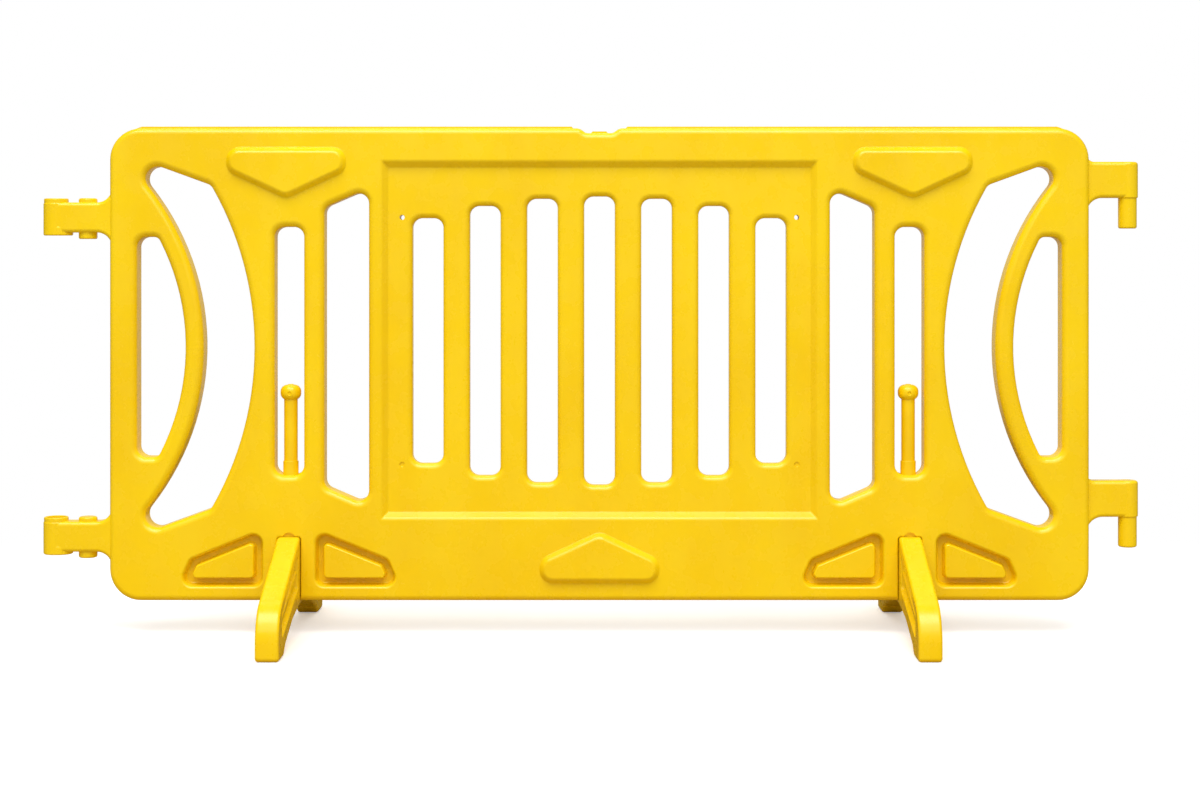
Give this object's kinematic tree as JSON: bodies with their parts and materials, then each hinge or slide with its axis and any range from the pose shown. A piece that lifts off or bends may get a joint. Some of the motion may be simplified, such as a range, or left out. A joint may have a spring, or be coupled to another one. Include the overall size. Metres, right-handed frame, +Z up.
{
  "type": "pedestrian barrier panel",
  "caption": "Moulded plastic crowd-control barrier panel with slotted sign field, hand holes, linking hooks and knuckles at its ends, standing on drop-down arched feet.",
  "frame": {"origin": "on the ground, in the middle of the overall length and of the feet's length", "axes": "+X along the panel from the knuckles to the hooks, -Y to the front, +Z up"},
  "size_m": [2.187, 0.61, 1.012],
  "materials": {
    "moulded_plastic": "satin moulded polyethylene, bright yellow, faint mottling",
    "post_plastic": "satin moulded plastic, bright yellow",
    "knob_plastic": "glossy moulded plastic, bright yellow",
    "steel_pin": "plain zinc-plated steel"
  },
  "bodies": {
    "barrier": {"panel": "moulded_plastic", "upper_knuckle": "moulded_plastic", "lower_knuckle": "moulded_plastic", "upper_hook": "moulded_plastic", "lower_hook": "moulded_plastic"},
    "left_leg": {"left_foot": "moulded_plastic", "left_post": "post_plastic", "left_knob": "knob_plastic", "left_knob_pin": "knob_plastic", "left_foot_pin": "steel_pin"},
    "right_leg": {"right_foot": "moulded_plastic", "right_post": "post_plastic", "right_knob": "knob_plastic", "right_knob_pin": "knob_plastic", "right_foot_pin": "steel_pin"}
  },
  "joints": [
    {"name": "left_foot_drop", "type": "slide", "parent": "barrier", "child": "left_leg", "axis": [0, 0, 1], "range_m": [-0.1497, 0]},
    {"name": "right_foot_drop", "type": "slide", "parent": "barrier", "child": "right_leg", "axis": [0, 0, 1], "range_m": [-0.1497, 0]}
  ]
}
